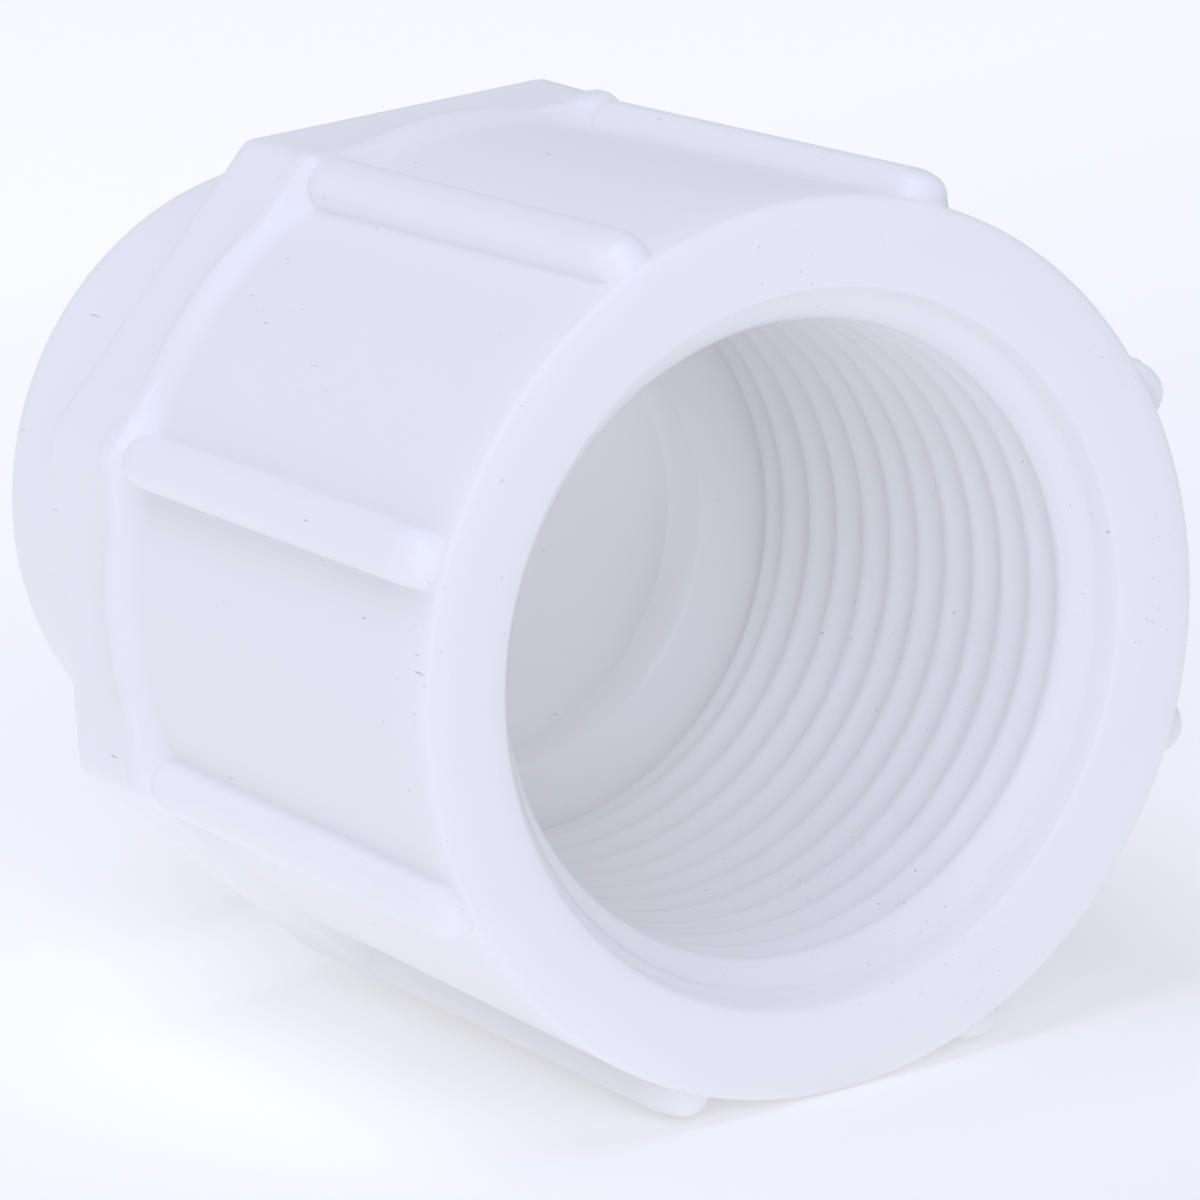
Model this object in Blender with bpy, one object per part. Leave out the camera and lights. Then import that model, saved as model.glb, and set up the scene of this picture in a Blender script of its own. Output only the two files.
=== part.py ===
"""Moulded PVC female pipe adapter: 1 inch tapered internal pipe thread, 3/4 inch socket hub.

The fitting is one moulding. It lies on its side: its axis runs along Y, the threaded mouth
faces -Y and the socket hub faces +Y. Eight ribs run along the barrel and end at the corners
of an octagonal wrench collar. All lengths are metres, angles are degrees where named so.
"""

import math

import bmesh
import bpy
from mathutils import Matrix, Vector

MM = 0.001

# Overall layout, measured along the axis from the mouth face.
FITTING_LENGTH = 48.4 * MM
AXIS_HEIGHT = 21.3974 * MM
FACETS = 48

# Barrel, tapered by the mould draft.
FACE_RADIUS = 21.35 * MM
FACE_EDGE_ROUND = 0.35 * MM
BARREL_REAR_RADIUS = 20.42 * MM
BARREL_REAR = 27.1 * MM

# Low bead where the barrel runs into the collar.
BEAD_RADIUS = 21.10 * MM
BEAD_TOP = 29.3 * MM
BEAD_END = 29.8 * MM

# Octagonal collar.
COLLAR_APOTHEM = 20.50 * MM
COLLAR_FRONT = 28.5 * MM
COLLAR_REAR = 34.4 * MM
COLLAR_CORNER_CUT = 0.50 * MM
COLLAR_EDGE_BREAK = 0.20 * MM

# Hub with the pipe socket.
HUB_RADIUS = 15.55 * MM
HUB_NECK_ROUND = 1.4 * MM
HUB_END_BREAK = 0.35 * MM
SOCKET_DEPTH = 18.3 * MM
SOCKET_MOUTH_RADIUS = 13.45 * MM
SOCKET_BASE_RADIUS = 13.28 * MM
SOCKET_LEAD_IN = 0.45 * MM

# Ribs.
RIB_COUNT = 8
RIB_FIRST_ANGLE = 22.5
RIB_HALF_WIDTH = 1.36 * MM
RIB_SHOULDER = 0.45 * MM
RIB_FRONT = 0.45 * MM
RIB_REAR = 28.75 * MM
RIB_FRONT_RADIUS = 22.82 * MM
RIB_REAR_RADIUS = 22.06 * MM
RIB_ROOT_DEPTH = 1.6 * MM
RIB_DOME_DROP = 0.75 * MM
RIB_END_STEPS = (18.0, 42.0, 66.0, 90.0)

# Threaded mouth: plain counterbore, chamfer, then the tapered thread.
COUNTERBORE_RADIUS = 17.02 * MM
COUNTERBORE_BASE_RADIUS = 16.82 * MM
COUNTERBORE_DEPTH = 1.45 * MM
THREAD_START = 2.0 * MM
THREAD_END = 25.2 * MM
CREST_RADIUS = 15.15 * MM
THREAD_PITCH = 25.4 / 11.5 * MM
THREAD_HEIGHT = 1.35 * MM
THREAD_ROOT_FLAT = 0.26 * MM
THREAD_FLANK_ANGLE = 30.0
TAPER_SLOPE = 1.0 / 32.0

# Relief groove behind the thread, stop shoulder and waterway.
RELIEF_RADIUS = 15.85 * MM
RELIEF_LEAD = 0.6 * MM
SHOULDER_OUTER = 26.75 * MM
SHOULDER_INNER = 27.25 * MM
WATERWAY_RADIUS = 11.28 * MM

# How far cutting tools reach past the faces they cut.
CUT_MARGIN = 2.0 * MM
CREST_MARGIN = 0.20 * MM

BODY_COLOUR = (0.83, 0.85, 0.88, 1.0)
BODY_ROUGHNESS = 0.38


def clear_scene():
    """Remove every object so the script always starts from nothing."""
    for obj in list(bpy.data.objects):
        bpy.data.objects.remove(obj, do_unlink=True)


def plastic(name):
    """White moulded PVC."""
    material = bpy.data.materials.new(name)
    material.use_nodes = True
    shader = material.node_tree.nodes["Principled BSDF"]
    shader.inputs["Base Color"].default_value = BODY_COLOUR
    shader.inputs["Roughness"].default_value = BODY_ROUGHNESS
    return material


def object_from(bm, name):
    """Turn a bmesh into a placed object, the fitting's axis lifted to its resting height."""
    bmesh.ops.translate(bm, verts=bm.verts, vec=(0.0, -FITTING_LENGTH / 2.0, AXIS_HEIGHT))
    bmesh.ops.recalc_face_normals(bm, faces=bm.faces)
    mesh = bpy.data.meshes.new(name)
    bm.to_mesh(mesh)
    bm.free()
    obj = bpy.data.objects.new(name, mesh)
    bpy.context.scene.collection.objects.link(obj)
    return obj


def lathe(name, profile):
    """Closed solid of revolution about Y from (distance along axis, radius) pairs."""
    bm = bmesh.new()
    points = [(profile[0][0], 0.0)] + list(profile) + [(profile[-1][0], 0.0)]
    verts = [bm.verts.new((radius, along, 0.0)) for along, radius in points]
    edges = [bm.edges.new(pair) for pair in zip(verts, verts[1:])]
    bmesh.ops.spin(
        bm,
        geom=verts + edges,
        cent=(0.0, 0.0, 0.0),
        axis=(0.0, 1.0, 0.0),
        angle=2.0 * math.pi,
        steps=FACETS,
        use_merge=True,
    )
    bmesh.ops.remove_doubles(bm, verts=bm.verts, dist=0.001 * MM)
    return object_from(bm, name)


def barrel_and_hub():
    """Everything round on the outside: barrel, bead, core of the collar, neck and hub."""
    rise = BEAD_RADIUS - BARREL_REAR_RADIUS
    run = BEAD_TOP - BARREL_REAR
    neck = HUB_NECK_ROUND
    core = COLLAR_APOTHEM - 0.8 * MM
    profile = [
        (0.0, FACE_RADIUS - FACE_EDGE_ROUND),
        (0.3 * FACE_EDGE_ROUND, FACE_RADIUS - 0.3 * FACE_EDGE_ROUND),
        (FACE_EDGE_ROUND, FACE_RADIUS),
        (BARREL_REAR, BARREL_REAR_RADIUS),
        (BARREL_REAR + 0.35 * run, BARREL_REAR_RADIUS + 0.16 * rise),
        (BARREL_REAR + 0.70 * run, BARREL_REAR_RADIUS + 0.62 * rise),
        (BEAD_TOP, BEAD_RADIUS),
        (BEAD_END, core),
        (COLLAR_REAR - COLLAR_EDGE_BREAK, core),
        (COLLAR_REAR, core - COLLAR_EDGE_BREAK),
        (COLLAR_REAR, HUB_RADIUS + neck),
        (COLLAR_REAR + 0.3 * neck, HUB_RADIUS + 0.3 * neck),
        (COLLAR_REAR + neck, HUB_RADIUS),
        (FITTING_LENGTH - HUB_END_BREAK, HUB_RADIUS),
        (FITTING_LENGTH, HUB_RADIUS - HUB_END_BREAK),
    ]
    return lathe("adapter_body", profile)


def octagonal_collar():
    """Eight-sided prism; its corners line up with the ribs and are slightly cut back."""
    bm = bmesh.new()
    corner_radius = COLLAR_APOTHEM / math.cos(math.pi / RIB_COUNT)
    spread = COLLAR_CORNER_CUT / corner_radius
    pull = COLLAR_CORNER_CUT * math.tan(math.pi / RIB_COUNT)
    sections = (
        (COLLAR_FRONT, COLLAR_EDGE_BREAK),
        (COLLAR_FRONT + COLLAR_EDGE_BREAK, 0.0),
        (COLLAR_REAR - COLLAR_EDGE_BREAK, 0.0),
        (COLLAR_REAR, COLLAR_EDGE_BREAK),
    )
    rings = []
    for along, inset in sections:
        ring = []
        for corner in range(RIB_COUNT):
            middle = math.radians(RIB_FIRST_ANGLE + corner * 360.0 / RIB_COUNT)
            for side in (-spread, 0.0, spread):
                reach = corner_radius - inset - (pull if side else 0.45 * pull)
                angle = middle + side
                ring.append(bm.verts.new((reach * math.cos(angle), along, reach * math.sin(angle))))
        rings.append(ring)
    skin(bm, rings)
    return object_from(bm, "join_collar")


def skin(bm, rings):
    """Close a solid through matching rings of vertices and cap both ends."""
    for low, high in zip(rings, rings[1:]):
        count = len(low)
        for i in range(count):
            j = (i + 1) % count
            bm.faces.new((low[i], low[j], high[j], high[i]))
    bm.faces.new(rings[0])
    bm.faces.new(list(reversed(rings[-1])))


def rib_section(bm, along, width_factor, drop):
    """One cross-section of a rib standing up along +Z, centred on X = 0."""
    share = (along - RIB_FRONT) / (RIB_REAR - RIB_FRONT)
    top = RIB_FRONT_RADIUS + share * (RIB_REAR_RADIUS - RIB_FRONT_RADIUS) - drop
    foot = top + drop - RIB_ROOT_DEPTH - 1.4 * MM
    half = RIB_HALF_WIDTH * width_factor
    cut = RIB_SHOULDER * width_factor
    outline = (
        (-half, foot),
        (-half, top - cut),
        (-half + 0.3 * cut, top - 0.3 * cut),
        (-half + cut, top),
        (half - cut, top),
        (half - 0.3 * cut, top - 0.3 * cut),
        (half, top - cut),
        (half, foot),
    )
    return [bm.verts.new((x, along, z)) for x, z in outline]


def ribs():
    """Eight ribs: a domed front end, a rounded rear end, a flat top with broken edges."""
    bm = bmesh.new()
    for index in range(RIB_COUNT):
        rings = []
        for step in RIB_END_STEPS:
            angle = math.radians(step)
            along = RIB_FRONT + RIB_HALF_WIDTH * (1.0 - math.cos(angle))
            rings.append(rib_section(bm, along, math.sin(angle), RIB_DOME_DROP * (1.0 - math.sin(angle))))
        for step in reversed(RIB_END_STEPS):
            angle = math.radians(step)
            along = RIB_REAR - RIB_HALF_WIDTH * (1.0 - math.cos(angle))
            rings.append(rib_section(bm, along, math.sin(angle), 0.0))
        skin(bm, rings)
        turn = math.radians(90.0 - RIB_FIRST_ANGLE - index * 360.0 / RIB_COUNT)
        verts = [vert for ring in rings for vert in ring]
        bmesh.ops.rotate(bm, verts=verts, cent=(0.0, 0.0, 0.0), matrix=Matrix.Rotation(turn, 3, "Y"))
    return object_from(bm, "join_ribs")


def passage():
    """Cutter for the counterbore, thread crest cone, waterway and pipe socket."""
    crest_end = CREST_RADIUS - (THREAD_END - THREAD_START) * TAPER_SLOPE
    stop = FITTING_LENGTH - SOCKET_DEPTH
    profile = [
        (-CUT_MARGIN, COUNTERBORE_RADIUS),
        (0.0, COUNTERBORE_RADIUS),
        (COUNTERBORE_DEPTH, COUNTERBORE_BASE_RADIUS),
        (THREAD_START, CREST_RADIUS),
        (THREAD_END, crest_end),
        (THREAD_END + RELIEF_LEAD, RELIEF_RADIUS),
        (SHOULDER_OUTER, RELIEF_RADIUS),
        (SHOULDER_INNER, WATERWAY_RADIUS),
        (stop, WATERWAY_RADIUS),
        (stop, SOCKET_BASE_RADIUS),
        (FITTING_LENGTH - SOCKET_LEAD_IN, SOCKET_MOUTH_RADIUS),
        (FITTING_LENGTH, SOCKET_MOUTH_RADIUS + SOCKET_LEAD_IN),
        (FITTING_LENGTH + CUT_MARGIN, SOCKET_MOUTH_RADIUS + SOCKET_LEAD_IN),
    ]
    return lathe("cut_passage", profile)


def thread_groove():
    """Cutter for the groove of the right-hand taper thread, swept as one helix."""
    bm = bmesh.new()
    flank = math.tan(math.radians(THREAD_FLANK_ANGLE))
    half_root = THREAD_ROOT_FLAT / 2.0
    half_open = half_root + flank * (THREAD_HEIGHT + CREST_MARGIN)
    start = COUNTERBORE_DEPTH - THREAD_PITCH
    end = THREAD_END + 0.5 * RELIEF_LEAD
    turns = (end - start) / THREAD_PITCH
    steps = int(turns * FACETS)
    outline = (
        (-half_open, CREST_RADIUS - CREST_MARGIN),
        (-half_root, CREST_RADIUS + THREAD_HEIGHT),
        (half_root, CREST_RADIUS + THREAD_HEIGHT),
        (half_open, CREST_RADIUS - CREST_MARGIN),
    )
    verts = [bm.verts.new((radius, start + along, 0.0)) for along, radius in outline]
    edges = [bm.edges.new((verts[i], verts[(i + 1) % len(verts)])) for i in range(len(verts))]
    bm.faces.new(verts)
    result = bmesh.ops.spin(
        bm,
        geom=verts + edges,
        cent=(0.0, 0.0, 0.0),
        axis=(0.0, 1.0, 0.0),
        dvec=(0.0, THREAD_PITCH / FACETS, 0.0),
        angle=2.0 * math.pi * steps / FACETS,
        steps=steps,
    )
    last = [item for item in result["geom_last"] if isinstance(item, bmesh.types.BMVert)]
    bmesh.ops.contextual_create(bm, geom=last)
    for vert in bm.verts:
        radial = Vector((vert.co.x, 0.0, vert.co.z))
        shrink = (vert.co.y - THREAD_START) * TAPER_SLOPE
        vert.co -= radial.normalized() * shrink
    return object_from(bm, "cut_thread")


def combine(body, tool, operation):
    """Add an exact Boolean to the body and keep its tool out of the finished part."""
    modifier = body.modifiers.new(tool.name, "BOOLEAN")
    modifier.object = tool
    modifier.operation = operation
    modifier.solver = "EXACT"
    tool.hide_render = True
    tool.display_type = "WIRE"


def build():
    """Make the one moulded body."""
    clear_scene()
    body = barrel_and_hub()
    body.data.materials.append(plastic("white_pvc"))
    combine(body, octagonal_collar(), "UNION")
    combine(body, ribs(), "UNION")
    combine(body, passage(), "DIFFERENCE")
    combine(body, thread_groove(), "DIFFERENCE")


build()
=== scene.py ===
import math

import bpy
import numpy as np
from mathutils import Matrix, Vector


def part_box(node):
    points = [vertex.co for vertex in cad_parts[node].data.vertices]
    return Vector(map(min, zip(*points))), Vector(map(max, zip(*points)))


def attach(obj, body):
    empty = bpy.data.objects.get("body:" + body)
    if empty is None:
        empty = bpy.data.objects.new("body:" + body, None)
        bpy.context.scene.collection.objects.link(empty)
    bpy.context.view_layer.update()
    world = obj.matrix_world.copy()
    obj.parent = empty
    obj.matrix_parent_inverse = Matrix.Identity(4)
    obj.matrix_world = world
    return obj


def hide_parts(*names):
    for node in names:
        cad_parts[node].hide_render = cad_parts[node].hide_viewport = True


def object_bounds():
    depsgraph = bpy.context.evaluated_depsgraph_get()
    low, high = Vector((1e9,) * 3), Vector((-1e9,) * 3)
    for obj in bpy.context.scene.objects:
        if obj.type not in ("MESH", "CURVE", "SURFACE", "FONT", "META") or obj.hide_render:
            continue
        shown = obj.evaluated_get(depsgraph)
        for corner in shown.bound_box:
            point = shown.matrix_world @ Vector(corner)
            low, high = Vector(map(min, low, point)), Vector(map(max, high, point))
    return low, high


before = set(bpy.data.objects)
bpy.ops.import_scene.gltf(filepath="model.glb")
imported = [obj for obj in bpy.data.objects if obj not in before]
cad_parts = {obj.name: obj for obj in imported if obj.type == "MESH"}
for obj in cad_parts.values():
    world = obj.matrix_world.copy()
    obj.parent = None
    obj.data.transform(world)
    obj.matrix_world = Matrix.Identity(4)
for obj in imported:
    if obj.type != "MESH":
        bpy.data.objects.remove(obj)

CAD_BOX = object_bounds()
MM = 0.001
FULL_TURN = 2.0 * math.pi

# Lengths in millimetres. Those along the axis are measured from the mouth face.
LENGTH = 48.4

# The barrel: a drafted cone with a rounded front edge.
FACE_R, FACE_ROUND = 21.35, 0.28
BARREL_REAR, BARREL_REAR_R = 27.1, 20.42

# The flare and the bead in front of the collar. At the collar's corners they rise higher and
# begin earlier.
BEAD_TOP, BEAD_END, BEAD_R = 29.3, 29.8, 21.10
FLARE_STEP, FLARE_LAP, CROWN_FILLET = 0.25, 0.2, 0.15
BEAD_FALL, BEAD_FALL_START, BEAD_FALL_END = 2.6, BEAD_TOP + 0.1, BEAD_END + 0.35
CORNER_RISE, CORNER_WIDTH, CORNER_LEAD = 0.48, 1.9, 1.2

# The octagonal collar.
APOTHEM, COLLAR_EDGE, COLLAR_CORNER_POWER = 20.50, 0.22, 260.0
COLLAR_FRONT, COLLAR_REAR = 28.5, 34.4
COLLAR_LEAN, COLLAR_FOOT, COLLAR_FILLET = 0.02, 0.02, 0.05

# The hub and the pipe socket in its end.
HUB_R, NECK_ROUND, HUB_END_ROUND = 15.55, 1.5, 0.45
SOCKET_DEPTH, SOCKET_MOUTH_R, SOCKET_BASE_R, SOCKET_LEAD = 18.3, 13.45, 13.28, 0.45

# The ribs, one at each corner of the collar. The edge of a rib's domed front end is an arc
# across its top, and its section is rounder at that end. Where there is no rib, its radius
# drops below the barrel's.
RIBS, RIB_PHASE, RIB_HALF_WIDTH, RIB_REAR = 8, 22.5, 1.36, 28.15
RIB_TOP_FRONT, RIB_TOP_REAR, RIB_FOOT_R, RIB_FILLET = 22.82, 22.06, 21.6, 0.30
DOME_DROP, DOME_MIDDLE, DOME_LENGTH = 0.13, 1.52, 1.22
DOME_EDGE_MIDDLE, DOME_EDGE_R, DOME_EDGE_BLEND = 0.72, 1.5, 0.16
SECTION_POWER, SECTION_POWER_GAIN = 2.2, 0.9
SECTION_START, SECTION_END, NO_RIB_DROP = 0.9, 2.3, 1.0
STEP = FULL_TURN / RIBS

# The counterbore in the mouth.
BORE_R, BORE_BASE_R, BORE_DEPTH, BORE_ROUND = 17.02, 16.84, 1.45, 0.22
BORE_CORNER, BORE_CORNER_LENGTH, BORE_CORNER_HEIGHT = 0.3, 0.19, 0.18

# The thread, its groove's shape as shares of the pitch, and its run-out.
THREAD_START, THREAD_END, THREAD_FADE, THREAD_FADE_END = 2.0, 25.9, 1.0, 0.05
CREST_R, THREAD_DEPTH, PITCH, TAPER = 15.15, 1.35, 25.4 / 11.5, 1.0 / 32.0
CREST_HALF, FLANK, CREST_SOFTNESS, ROOT_SOFTNESS = 0.088, 0.353, 0.0085, 0.012
FLOOR_SLOPE = (BORE_BASE_R - CREST_R) / (THREAD_START - BORE_DEPTH)

# The relief behind the thread, the annular shoulder and the waterway.
RELIEF_R, SHOULDER_OUT, SHOULDER_IN = 15.35, 26.75, 27.25
WATERWAY_R, WATERWAY_ROUND, WATERWAY_LEAD = 11.28, 0.40, 1.2

# Rows and columns of the mesh. Columns are in half widths of a rib from its middle, and
# phases are shares of the pitch from a crest.
NEAR_RIB = (0.0, 0.32, 0.58, 0.76, 0.87, 0.94, 0.98, 1.005, 1.04, 1.12, 1.30)
BETWEEN_RIBS = 11
EDGE_ROWS, NECK_ROWS, BORE_CORNER_ROWS = 6, 8, 5
FACE_SHARES = (0.33, 0.66)
DOME_ROWS = np.arange(0.46, 2.9, 0.12)
BARREL_ROWS = (3.0, 3.4, 5.0, 8.0, 12.0, 16.0, 20.0, 24.0, 26.4)
FLARE_ROWS = np.arange(26.7, COLLAR_FRONT - 0.04, 0.11)
COLLAR_FACE_SHARES = (0.04, 0.5, 0.96)
BEAD_ROWS = np.arange(COLLAR_FRONT + COLLAR_EDGE + 0.12, BEAD_END + 0.4, 0.12)
FLAT_ROWS = (30.6, 32.0, 33.4, COLLAR_REAR - COLLAR_EDGE - 0.1)
COLLAR_BACK_SHARES = (0.06, 0.5, 0.94)
HUB_ROWS = (37.5, 41.0, 45.0, LENGTH - HUB_END_ROUND - 0.3)
SOCKET_SHARES = (0.01, 0.25, 0.5, 0.75, 0.98)
SHOULDER_RADII = (12.4, 13.4, 14.3, RELIEF_R - 0.25)
BORE_FLOOR_SHARES = (0.05, 0.15, 0.4, 0.7, 1.0)
PHASES = np.array([0.0, 0.045, 0.086, 0.131, 0.249, 0.38, 0.435,
                   0.5, 0.565, 0.62, 0.751, 0.869, 0.914, 0.955])
SPARE_TURNS, MERGE = 2, 0.012
EDGE_SEARCH, EDGE_HALVINGS = 0.6, 40

# Points that ease a corner: offsets from it along the axis and in radius.
LIP_EASE = ((0.0, 0.06), (-0.03, -0.02))
LEAD_EASE = ((0.03, 0.02),)
SOCKET_BASE_EASE = ((0.06, -0.05), (0.0, -0.25))
STOP_EASE = ((0.0, 0.35), (-0.05, 0.09), (-0.3, 0.0))
RELIEF_REAR_EASE = ((-0.03, -0.1), (-0.12, 0.0))
RELIEF_FRONT_EASE = ((0.42, 0.0), (0.30, -0.12))
CREST_EASE = ((0.12, 0.12), (0.04, 0.03))
WALL_REAR_EASE = (-0.24, 0.02)
WALL_FRONT_EASE = (0.02, -0.004)


# ------------------------------------------------------------------ shaping tools
def smoothstep(low, high, value):
    t = np.clip((value - low) / (high - low), 0.0, 1.0)
    return t * t * (3.0 - 2.0 * t)


def soft_max(a, b, width):
    """The larger of two radii, with a small fillet where they cross."""
    share = np.clip(0.5 + 0.5 * (a - b) / width, 0.0, 1.0)
    return b + (a - b) * share + width * share * (1.0 - share)


def quarter(count):
    """Angles across a quarter turn."""
    return np.linspace(0.0, math.pi / 2.0, count)


def eased(y, radius, offsets):
    """The points that ease the corner at a length and radius."""
    return [(y + along, radius + out) for along, out in offsets]


def columns():
    """Angles round the axis, close together where the ribs' sides stand."""
    near = np.array(NEAR_RIB) * RIB_HALF_WIDTH / RIB_FOOT_R
    half = np.concatenate([near, np.linspace(near[-1], STEP / 2.0, BETWEEN_RIBS)[1:]])
    sector = np.concatenate([-half[::-1][1:-1], half])
    middles = math.radians(RIB_PHASE) + np.arange(RIBS) * STEP
    return np.concatenate([middle + sector for middle in middles])


THETA = columns()


def even(value):
    """The same value at every column."""
    return np.full_like(THETA, value)


# ------------------------------------------------------------------ outside shape
def drafted(y):
    """Radius of the barrel's plain cone."""
    return FACE_R + (BARREL_REAR_R - FACE_R) * y / BARREL_REAR


def prism():
    """Radius of the octagonal collar, its corners a little rounded."""
    total = np.zeros_like(THETA)
    for side in range(RIBS):
        total += np.clip(np.cos(THETA - side * STEP), 0.0, 1.0) ** COLLAR_CORNER_POWER
    return APOTHEM * total ** (-1.0 / COLLAR_CORNER_POWER)


def from_rib():
    """Distance round the barrel from the nearest rib's middle, which is at a collar corner."""
    offset = (THETA - math.radians(RIB_PHASE) + STEP / 2.0) % STEP - STEP / 2.0
    return np.abs(offset) * RIB_FOOT_R


def barrel(y):
    """Radius of the barrel, its rounded front edge, and the flare and bead at its rear end."""
    front = np.clip((FACE_ROUND - y) / FACE_ROUND, 0.0, 1.0)
    line = drafted(y) - FACE_ROUND * (1.0 - np.sqrt(1.0 - front ** 2))
    corner = np.exp(-(from_rib() / CORNER_WIDTH) ** 2)
    crown = soft_max(even(BEAD_R), prism() - FLARE_STEP, CROWN_FILLET) + CORNER_RISE * corner
    lead = CORNER_LEAD * corner
    flare = smoothstep(BARREL_REAR - 0.5 * lead, BEAD_TOP + FLARE_LAP - lead, y)
    bead = BARREL_REAR_R + (crown - BARREL_REAR_R) * flare
    bead = bead - BEAD_FALL * smoothstep(BEAD_FALL_START, BEAD_FALL_END, y)
    return np.maximum(line, bead)


def ribs(y):
    """Radius of the ribs: rounded shoulders, a round rear end and a domed front end."""
    u = from_rib()
    height = RIB_TOP_FRONT + (RIB_TOP_REAR - RIB_TOP_FRONT) * y / RIB_REAR - drafted(y)
    arc = DOME_EDGE_MIDDLE + np.sqrt(np.clip(DOME_EDGE_R ** 2 - u ** 2, 0.0, None))
    height = height - DOME_DROP * (1.0 - smoothstep(-DOME_EDGE_BLEND, DOME_EDGE_BLEND, y - arc))
    ahead = np.clip(DOME_MIDDLE - y, 0.0, None) / DOME_LENGTH
    past = np.clip(y - (RIB_REAR - RIB_HALF_WIDTH), 0.0, None) / RIB_HALF_WIDTH
    across = np.hypot(u / RIB_HALF_WIDTH, ahead + past)
    power = SECTION_POWER + SECTION_POWER_GAIN * smoothstep(SECTION_START, SECTION_END, y)
    rise = height * np.clip(1.0 - across ** power, 0.0, 1.0) ** (1.0 / power)
    return np.where(rise > 0.0, drafted(y) + rise, drafted(y) - NO_RIB_DROP)


def outside(y):
    """Radius of the barrel with its ribs."""
    return soft_max(barrel(even(y)), ribs(even(y)), RIB_FILLET)


# Every row below is a (length, radius) pair. A radius is one number, or one for each column.
def face_rows():
    """The mouth face, from the counterbore's rounded edge out to the barrel's rounded edge."""
    rows = [(BORE_ROUND * (1.0 - math.sin(a)), even(BORE_R + BORE_ROUND * (1.0 - math.cos(a))))
            for a in quarter(EDGE_ROWS)]
    inner, outer = BORE_R + BORE_ROUND, FACE_R - FACE_ROUND
    rows += [(0.0, even(inner + share * (outer - inner))) for share in FACE_SHARES]
    for a in quarter(EDGE_ROWS):
        y = FACE_ROUND * (1.0 - math.cos(a))
        rows.append((y, outside(y)))
    return rows


def barrel_rows():
    """The barrel and its ribs: close rows over the domed ends and over the flare."""
    return [(y, outside(y)) for y in (*DOME_ROWS, *BARREL_ROWS, *FLARE_ROWS)]


def collar_rows():
    """The collar: its front face where it stands above the barrel, its flats and rear edge."""
    rows = []
    flats = prism()
    edge = flats - COLLAR_EDGE
    low = outside(COLLAR_FRONT - COLLAR_LEAN)
    for share in COLLAR_FACE_SHARES:
        y = COLLAR_FRONT - COLLAR_LEAN * (1.0 - share)
        rows.append((y, soft_max(low, low + (edge - low) * share, COLLAR_FOOT)))
    for a in quarter(EDGE_ROWS):
        y = COLLAR_FRONT + COLLAR_EDGE * (1.0 - math.cos(a))
        reach = flats - COLLAR_EDGE * (1.0 - math.sin(a))
        rows.append((y, soft_max(outside(y), reach, COLLAR_FILLET)))
    rows += [(y, soft_max(barrel(even(y)), flats, COLLAR_FILLET)) for y in BEAD_ROWS]
    rows += [(y, flats) for y in FLAT_ROWS]
    for a in quarter(EDGE_ROWS):
        y = COLLAR_REAR - COLLAR_EDGE * (1.0 - math.sin(a))
        rows.append((y, flats - COLLAR_EDGE * (1.0 - math.cos(a))))
    neck = HUB_R + NECK_ROUND
    rows += [(COLLAR_REAR, edge * (1.0 - share) + neck * share) for share in COLLAR_BACK_SHARES]
    return rows


def hub_profile():
    """The hub, its end, the pipe socket and the stop."""
    line = [(COLLAR_REAR + NECK_ROUND * (1.0 - math.cos(a)),
             HUB_R + NECK_ROUND * (1.0 - math.sin(a))) for a in quarter(NECK_ROWS)]
    line += [(y, HUB_R) for y in HUB_ROWS]
    line += [(LENGTH - HUB_END_ROUND * (1.0 - math.sin(a)),
              HUB_R - HUB_END_ROUND * (1.0 - math.cos(a))) for a in quarter(EDGE_ROWS)]
    lip = SOCKET_MOUTH_R + SOCKET_LEAD
    line.append((LENGTH, 0.5 * (HUB_R - HUB_END_ROUND + lip)))
    line += eased(LENGTH, lip, LIP_EASE)
    line += eased(LENGTH - SOCKET_LEAD, SOCKET_MOUTH_R, LEAD_EASE)
    stop = LENGTH - SOCKET_DEPTH
    for share in SOCKET_SHARES:
        y = LENGTH - SOCKET_LEAD + share * (stop + SOCKET_LEAD - LENGTH)
        line.append((y, SOCKET_MOUTH_R + share * (SOCKET_BASE_R - SOCKET_MOUTH_R)))
    line += eased(stop, SOCKET_BASE_R, SOCKET_BASE_EASE)
    line += eased(stop, WATERWAY_R, STOP_EASE)
    return line


def shoulder_profile():
    """The waterway's rounded edge, the annular shoulder and the relief behind the thread."""
    line = [(SHOULDER_IN + WATERWAY_LEAD, WATERWAY_R)]
    slope = (SHOULDER_IN - SHOULDER_OUT) / (RELIEF_R - WATERWAY_R)
    for a in quarter(EDGE_ROWS):
        out = WATERWAY_ROUND * (1.0 - math.cos(a))
        y = SHOULDER_IN + WATERWAY_ROUND * (1.0 - math.sin(a)) - slope * out
        line.append((y, WATERWAY_R + out))
    line += [(SHOULDER_IN - slope * (r - WATERWAY_R), r) for r in SHOULDER_RADII]
    line += eased(SHOULDER_OUT, RELIEF_R, RELIEF_REAR_EASE)
    crest = CREST_R - (THREAD_END - THREAD_START) * TAPER
    line += eased(THREAD_END, RELIEF_R, RELIEF_FRONT_EASE)
    line += eased(THREAD_END, crest, CREST_EASE)
    return line


# ------------------------------------------------------------------ thread
def groove(phase):
    """Depth of the thread's groove at a phase: near 0 on a crest and near 1 at a root."""
    ramp = (np.abs((phase + 0.5) % 1.0 - 0.5) - CREST_HALF) / FLANK
    ramp = 0.5 * (ramp + np.sqrt(ramp ** 2 + CREST_SOFTNESS))
    return 1.0 - 0.5 * ((1.0 - ramp) + np.sqrt((1.0 - ramp) ** 2 + ROOT_SOFTNESS))


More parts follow.
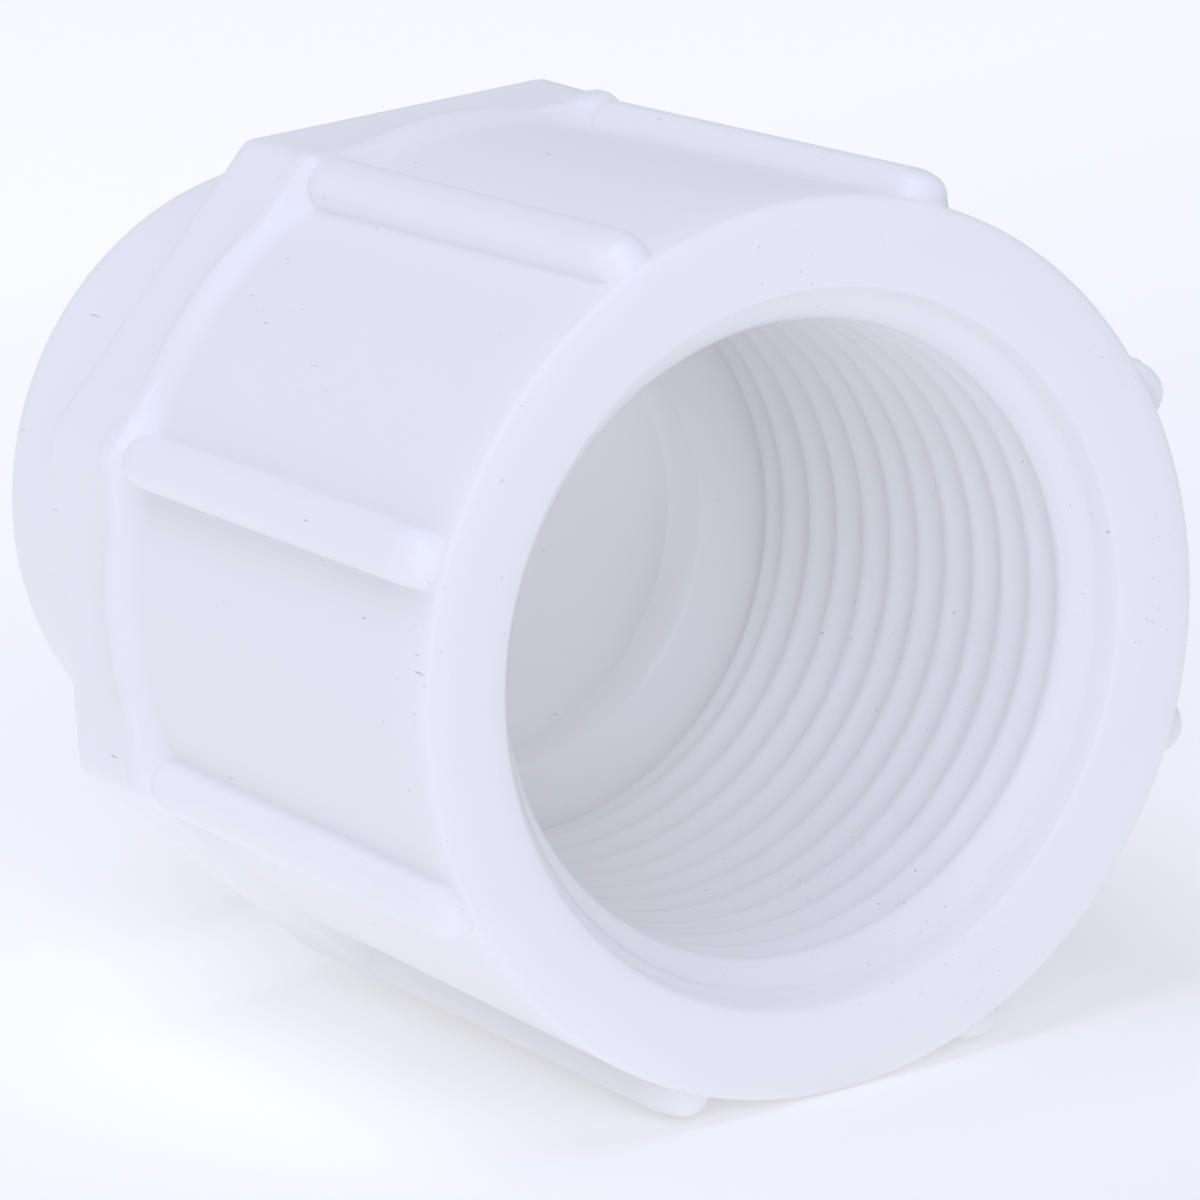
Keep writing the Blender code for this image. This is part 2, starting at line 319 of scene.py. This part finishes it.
def thread(y):
    """Radius of the right-hand taper thread; its groove runs out at the relief."""
    low, high = groove(0.0), groove(0.5)
    depth = (groove(y / PITCH + THETA / FULL_TURN) - low) / (high - low)
    fade = 1.0 - smoothstep(THREAD_END - THREAD_FADE, THREAD_END - THREAD_FADE_END, y)
    return CREST_R - (y - THREAD_START) * TAPER + THREAD_DEPTH * depth * fade


def floor_radius(y):
    """Radius of the counterbore's sloping floor."""
    return BORE_BASE_R - (y - BORE_DEPTH) * FLOOR_SLOPE


def thread_edge():
    """Where the counterbore's floor meets the thread, column by column."""
    low, high = even(BORE_DEPTH), even(THREAD_START + EDGE_SEARCH)
    for _ in range(EDGE_HALVINGS):
        middle = 0.5 * (low + high)
        above = floor_radius(middle) > thread(middle)
        low, high = np.where(above, middle, low), np.where(above, high, middle)
    return 0.5 * (low + high)


def bore_rows(edge):
    """The counterbore's floor and wall, from the thread out to the face."""
    rows = []
    crest, corner = thread(edge), BORE_BASE_R - BORE_CORNER
    for share in BORE_FLOOR_SHARES:
        radius = crest + (corner - crest) * share
        rows.append((BORE_DEPTH + (BORE_BASE_R - radius) / FLOOR_SLOPE, radius))
    for a in quarter(BORE_CORNER_ROWS)[1:-1]:
        y = BORE_DEPTH - BORE_CORNER_LENGTH * (1.0 - math.cos(a))
        rows.append((y, even(BORE_BASE_R - BORE_CORNER_HEIGHT * (1.0 - math.sin(a)))))
    wall = eased(BORE_DEPTH, BORE_BASE_R, [WALL_REAR_EASE])
    wall += eased(BORE_ROUND, BORE_R, [WALL_FRONT_EASE])
    return rows + [(y, even(r)) for y, r in wall]


# ------------------------------------------------------------------ mesh
class Skin:
    """A closed skin wound round the axis, row by row, over the columns."""

    def __init__(self):
        self.verts, self.faces = [], []

    def vertex(self, y, radius, angle):
        self.verts.append((radius * math.cos(angle), y, radius * math.sin(angle)))
        return len(self.verts) - 1

    def row(self, y, radius):
        lengths = np.broadcast_to(y, THETA.shape)
        return [self.vertex(*item) for item in zip(lengths, radius, THETA)]

    def quad(self, corners):
        """Add a face, without any corner that repeats the one before it."""
        loop = [v for k, v in enumerate(corners) if v != corners[k - 1]]
        if len(set(loop)) == len(loop) >= 3:
            self.faces.append(loop)

    def strip(self, rows):
        """Join each row to the next, all the way round."""
        for low, high in zip(rows, rows[1:]):
            for i, this in enumerate(low):
                j = (i + 1) % len(low)
                self.quad((this, high[i], high[j], low[j]))

    def thread(self, start, end, edge):
        """Rows that follow the helix. Those past either end fold onto the end rows."""
        turn_rows = len(PHASES)
        grid = []
        for turn in range(-SPARE_TURNS, int(THREAD_END / PITCH) + SPARE_TURNS + 1):
            for phase in PHASES:
                y = (turn + phase - THETA / FULL_TURN) * PITCH
                radius = thread(y)
                line = []
                for i, angle in enumerate(THETA):
                    if y[i] <= edge[i] + MERGE:
                        line.append(start[i])
                    elif y[i] >= THREAD_END - MERGE:
                        line.append(end[i])
                    else:
                        line.append(self.vertex(y[i], radius[i], angle))
                grid.append(line)
        for row, (this, after) in enumerate(zip(grid, grid[1:])):
            for i in range(len(THETA) - 1):
                self.quad((this[i], this[i + 1], after[i + 1], after[i]))
            # The last column meets the first column of the turn before.
            if row >= turn_rows:
                before = row - turn_rows
                self.quad((this[-1], grid[before][0], grid[before + 1][0], after[-1]))


def moulding():
    """The whole fitting as one closed skin."""
    skin = Skin()
    edge = thread_edge()
    rows = face_rows() + barrel_rows() + collar_rows()
    rows += [(y, even(r)) for y, r in hub_profile() + shoulder_profile()]
    start = skin.row(edge, thread(edge))
    end = skin.row(THREAD_END, thread(even(THREAD_END)))
    rings = [skin.row(y, r) for y, r in rows]
    skin.strip(rings + [end])
    skin.strip([start] + [skin.row(y, r) for y, r in bore_rows(edge)] + [rings[0]])
    skin.thread(start, end, edge)
    return skin


def build_body():
    """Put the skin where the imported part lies, resting on its two lowest ribs."""
    low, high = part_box("adapter_body")
    middle = (low + high) / 2.0
    skin = moulding()
    points = [(x * MM + middle.x, y * MM + low.y, z * MM + middle.z) for x, y, z in skin.verts]
    mesh = bpy.data.meshes.new("adapter_moulding")
    mesh.from_pydata(points, [], skin.faces)
    mesh.validate()
    mesh.shade_smooth()
    body = bpy.data.objects.new("adapter_moulding", mesh)
    bpy.context.scene.collection.objects.link(body)
    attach(body, "root")
    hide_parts("adapter_body")
    return body


# ------------------------------------------------------------------ materials
class Graph:
    """The nodes of one new material, with short calls for the kinds used here."""

    # The Mix node has sockets of the same name for each data type. These are the colour ones.
    MIX_COLOUR_IN, MIX_COLOUR_OUT = (6, 7), 2
    # The smallest speck, as a share of the largest.
    SMALLEST_SPECK = 0.4

    def __init__(self, name):
        self.material = bpy.data.materials.new(name)
        self.material.use_nodes = True
        tree = self.material.node_tree
        self.nodes, self.links = tree.nodes, tree.links
        self.shader = self.nodes["Principled BSDF"]
        self.coords = self.nodes.new("ShaderNodeTexCoord").outputs["Object"]

    def feed(self, socket, value):
        """Link another node's output to a socket, or set the socket to a plain value."""
        if isinstance(value, bpy.types.NodeSocket):
            self.links.new(value, socket)
        else:
            socket.default_value = value

    def make(self, kind, inputs):
        """A new node with its named inputs fed."""
        node = self.nodes.new(kind)
        for name, value in inputs.items():
            self.feed(node.inputs[name], value)
        return node

    def feed_shader(self, inputs):
        """Feed the shader's named inputs."""
        for name, value in inputs.items():
            self.feed(self.shader.inputs[name], value)

    def stretched(self, turn, scale):
        """Object coordinates, scaled along each axis and then turned by angles in radians."""
        inputs = {"Rotation": turn, "Scale": scale, "Vector": self.coords}
        return self.make("ShaderNodeMapping", inputs).outputs["Vector"]

    def noise(self, scale, detail=2.0, roughness=0.5, distortion=0.0, coords=None):
        """Noise in object space, or over other coordinates; scale is in features per metre."""
        inputs = {"Scale": scale, "Detail": detail, "Roughness": roughness,
                  "Distortion": distortion, "Vector": self.coords if coords is None else coords}
        return self.make("ShaderNodeTexNoise", inputs).outputs["Fac"]

    def remap(self, value, low, high, to_low, to_high):
        """Value from low..high to to_low..to_high, clamped."""
        inputs = {"From Min": low, "From Max": high, "To Min": to_low, "To Max": to_high,
                  "Value": value}
        return self.make("ShaderNodeMapRange", inputs).outputs["Result"]

    def calculate(self, operation, first, second):
        """A sum, product or comparison of two values."""
        node = self.nodes.new("ShaderNodeMath")
        node.operation = operation
        self.feed(node.inputs[0], first)
        self.feed(node.inputs[1], second)
        return node.outputs["Value"]

    def mix(self, share, first, second):
        """A share of the second colour over the first."""
        node = self.nodes.new("ShaderNodeMix")
        node.data_type = "RGBA"
        self.feed(node.inputs["Factor"], share)
        for number, colour in zip(self.MIX_COLOUR_IN, (first, second)):
            self.feed(node.inputs[number], colour)
        return node.outputs[self.MIX_COLOUR_OUT]

    def specks(self, scale, share, size):
        """Sparse small specks: a share of the cells of a Voronoi grid holds one."""
        cells = self.make("ShaderNodeTexVoronoi", {"Scale": scale, "Vector": self.coords})
        apart = self.make("ShaderNodeSeparateColor", {"Color": cells.outputs["Color"]})
        smallest = self.SMALLEST_SPECK * size
        reach = self.remap(apart.outputs["Green"], 0.0, 1.0, smallest, size)
        inside = self.calculate("LESS_THAN", cells.outputs["Distance"], reach)
        chosen = self.calculate("LESS_THAN", apart.outputs["Red"], share)
        return self.calculate("MULTIPLY", inside, chosen)


# Colours of the plastic.
WHITE, BRIGHT_WHITE = (0.970, 0.974, 0.982, 1.0), (0.983, 0.986, 0.992, 1.0)
HANDLED, DUST = (0.945, 0.950, 0.958, 1.0), (0.45, 0.45, 0.52, 1.0)
SPECK, HAIR_MARK = (0.16, 0.16, 0.20, 1.0), (0.22, 0.22, 0.28, 1.0)

# How strongly each of these covers what is under it, and the satin skin's roughness.
HANDLED_STRENGTH, DUST_STRENGTH, MARK_STRENGTH = 0.45, 0.35, 0.80
SMOOTHEST, ROUGHEST, GRAIN_ROUGHNESS = 0.36, 0.50, 0.03

# The turn of the pattern, and its features per metre along each axis, of the dark hair marks
# and of the hairlines.
MARK_TURN, MARK_SCALE = (0.2, 0.5, 0.1), (7000.0, 800.0, 7000.0)
HAIRLINE_TURN, HAIRLINE_SCALE = (0.4, 0.3, 0.9), (2600.0, 40.0, 2600.0)

# Heights in the skin's relief, as shares of its depth in metres.
HAIRLINE_HEIGHT, GRAIN_HEIGHT, FINE_HEIGHT = -0.35, 0.55, 0.20
RELIEF_STRENGTH, RELIEF_DEPTH = 0.20, 0.00006

PVC_IOR, PVC_SCATTER_LENGTH = 1.53, 0.0020


def plastic():
    """White PVC: satin moulded skin, faint clouding, handling marks, hairlines and specks."""
    graph = Graph("white_pvc_moulded")
    cloud = graph.noise(scale=95.0, detail=3.0, roughness=0.55, distortion=0.6)
    grain = graph.noise(scale=1500.0, roughness=0.6)
    fine = graph.noise(scale=5200.0, roughness=0.6)
    smudge = graph.noise(scale=210.0, detail=4.0, roughness=0.62, distortion=1.4)
    patch = graph.noise(scale=120.0, detail=1.0)
    mark = graph.noise(scale=1.0, detail=0.0, coords=graph.stretched(MARK_TURN, MARK_SCALE))
    hairline = graph.noise(scale=1.0, detail=1.0,
                           coords=graph.stretched(HAIRLINE_TURN, HAIRLINE_SCALE))

    colour = graph.mix(graph.remap(cloud, 0.30, 0.70, 0.0, 1.0), WHITE, BRIGHT_WHITE)
    handled = graph.remap(smudge, 0.60, 0.78, 0.0, HANDLED_STRENGTH)
    colour = graph.mix(handled, colour, HANDLED)
    colour = graph.mix(graph.specks(scale=150.0, share=0.30, size=0.024), colour, SPECK)
    dust = graph.specks(scale=420.0, share=0.16, size=0.060)
    colour = graph.mix(graph.calculate("MULTIPLY", dust, DUST_STRENGTH), colour, DUST)
    marks = graph.calculate("MULTIPLY", graph.remap(mark, 0.835, 0.86, 0.0, MARK_STRENGTH),
                            graph.remap(patch, 0.50, 0.58, 0.0, 1.0))
    colour = graph.mix(marks, colour, HAIR_MARK)

    satin = graph.remap(smudge, 0.30, 0.75, SMOOTHEST, ROUGHEST)
    ripple = graph.remap(grain, 0.3, 0.7, -GRAIN_ROUGHNESS, GRAIN_ROUGHNESS)
    satin = graph.calculate("ADD", satin, ripple)

    height = graph.calculate("MULTIPLY", graph.remap(hairline, 0.66, 0.74, 0.0, 1.0),
                             HAIRLINE_HEIGHT)
    for layer, share in ((grain, GRAIN_HEIGHT), (fine, FINE_HEIGHT)):
        height = graph.calculate("ADD", height, graph.calculate("MULTIPLY", layer, share))
    relief = graph.make("ShaderNodeBump", {
        "Strength": RELIEF_STRENGTH, "Distance": RELIEF_DEPTH, "Height": height})

    graph.feed_shader({
        "Base Color": colour, "Roughness": satin, "Normal": relief.outputs["Normal"],
        "IOR": PVC_IOR, "Subsurface Weight": 1.0, "Subsurface Radius": (1.0, 1.0, 1.0),
        "Subsurface Scale": PVC_SCATTER_LENGTH})
    return graph.material


# Colours of the floor and of its glow. The glow grows away from the camera and ends soon
# behind the object: distances in metres along Y.
FLOOR_WARM, FLOOR_PALE = (0.960, 0.945, 0.900, 1.0), (0.970, 0.955, 0.910, 1.0)
GLOW = (0.90, 0.91, 1.0, 1.0)
GLOW_GROWS, GLOW_STRENGTH = (-0.02, 0.15), (0.18, 0.42)
GLOW_ENDS = (0.22, 0.36)


def pale_floor():
    """A matt, slightly uneven floor with a faint glow."""
    graph = Graph("pale_floor")
    drift = graph.noise(scale=3.0)
    apart = graph.make("ShaderNodeSeparateXYZ", {"Vector": graph.coords})
    away = apart.outputs["Y"]
    glow = graph.calculate("MULTIPLY", graph.remap(away, *GLOW_GROWS, *GLOW_STRENGTH),
                           graph.remap(away, *GLOW_ENDS, 1.0, 0.0))
    graph.feed_shader({
        "Base Color": graph.mix(drift, FLOOR_WARM, FLOOR_PALE), "Roughness": 0.9,
        "Specular IOR Level": 0.1, "Emission Color": GLOW, "Emission Strength": glow})
    return graph.material


# ------------------------------------------------------------------ studio
# The floor, in metres: its half width, near edge, the start and radius of its curve, its top.
FLOOR_HALF_WIDTH, FLOOR_NEAR, FLOOR_FAR, FLOOR_CURVE, FLOOR_TOP = 2.0, -1.6, 0.7, 0.5, 1.6
FLOOR_CURVE_ROWS = 10


def build_floor():
    """A wide pale floor whose far edge curves up out of sight."""
    profile = [(FLOOR_NEAR, 0.0), (FLOOR_FAR, 0.0)]
    profile += [(FLOOR_FAR + FLOOR_CURVE * math.sin(a), FLOOR_CURVE * (1.0 - math.cos(a)))
                for a in quarter(FLOOR_CURVE_ROWS)[1:]]
    profile.append((FLOOR_FAR + FLOOR_CURVE, FLOOR_TOP))
    points = [(x, y, z) for y, z in profile for x in (-FLOOR_HALF_WIDTH, FLOOR_HALF_WIDTH)]
    faces = [(2 * i, 2 * i + 1, 2 * i + 3, 2 * i + 2) for i in range(len(profile) - 1)]
    mesh = bpy.data.meshes.new("studio_floor")
    mesh.from_pydata(points, [], faces)
    mesh.shade_smooth()
    floor = bpy.data.objects.new("studio_floor", mesh)
    bpy.context.scene.collection.objects.link(floor)
    floor.data.materials.append(pale_floor())


# The lights: their places in metres from the object's middle, their disks' diameter in metres
# and their power in watts; then the colour of all light, and the surroundings' strength.
KEY, TOP = (-0.45, -0.87, 0.5), (-0.3, -0.05, 1.05)
SOFTBOX_SIZE, KEY_POWER, TOP_POWER = 0.8, 4.3, 4.9
DAYLIGHT, SURROUND_STRENGTH = (0.735, 0.768, 1.0), 0.325


def softbox(name, offset, centre, power):
    """A round soft light that looks at the object's middle."""
    data = bpy.data.lights.new(name, "AREA")
    data.shape = "DISK"
    data.size = SOFTBOX_SIZE
    data.energy = power
    data.color = DAYLIGHT
    lamp = bpy.data.objects.new(name, data)
    lamp.location = centre + Vector(offset)
    lamp.rotation_mode = "QUATERNION"
    lamp.rotation_quaternion = (centre - lamp.location).to_track_quat("-Z", "Y")
    bpy.context.scene.collection.objects.link(lamp)


def build_light(centre):
    """Even daylight from all round, and two soft lights."""
    world = bpy.data.worlds.new("studio")
    world.use_nodes = True
    background = world.node_tree.nodes["Background"]
    background.inputs["Color"].default_value = (*DAYLIGHT, 1.0)
    background.inputs["Strength"].default_value = SURROUND_STRENGTH
    bpy.context.scene.world = world
    softbox("key", KEY, centre, KEY_POWER)
    softbox("top", TOP, centre, TOP_POWER)


# The camera: degrees round the object, and millimetres from the point that it looks at. The
# clip distances are in metres.
AZIMUTH, ELEVATION, ROLL = -31.807, 15.671, -4.159
DISTANCE, LENS, SENSOR = 471.6, 291.81, 36.0
LOOK_AT = (3.364, 0.0, 18.363)
CLIP_START, CLIP_END = 0.01, 10.0


def build_camera():
    """The camera, placed by its angles and then rolled about its own axis."""
    azimuth, elevation, roll = (math.radians(angle) for angle in (AZIMUTH, ELEVATION, ROLL))
    back = Vector((math.sin(azimuth) * math.cos(elevation),
                   -math.cos(azimuth) * math.cos(elevation),
                   math.sin(elevation)))
    side = Vector((math.cos(azimuth), math.sin(azimuth), 0.0))
    up = back.cross(side)
    right = side * math.cos(roll) + up * math.sin(roll)
    above = up * math.cos(roll) - side * math.sin(roll)
    data = bpy.data.cameras.new("camera")
    data.sensor_width = SENSOR
    data.lens = LENS
    data.clip_start, data.clip_end = CLIP_START, CLIP_END
    camera = bpy.data.objects.new("camera", data)
    place = (Vector(LOOK_AT) + back * DISTANCE) * MM
    rotation = Matrix((right, above, back)).transposed().to_4x4()
    camera.matrix_world = Matrix.Translation(place) @ rotation
    bpy.context.scene.collection.objects.link(camera)
    bpy.context.scene.camera = camera


# How far every tone is drawn towards white.
SHADOW_LIFT = 0.40


def soften_contrast():
    """A low-contrast response: every tone is drawn towards white by the same share."""
    view = bpy.context.scene.view_settings
    view.view_transform = "Standard"
    view.use_curve_mapping = True
    view.curve_mapping.black_level = (-SHADOW_LIFT, -SHADOW_LIFT, -SHADOW_LIFT)
    view.curve_mapping.update()


def main():
    body = build_body()
    body.data.materials.append(plastic())
    low, high = CAD_BOX
    build_floor()
    build_light((low + high) / 2.0)
    build_camera()
    soften_contrast()


main()
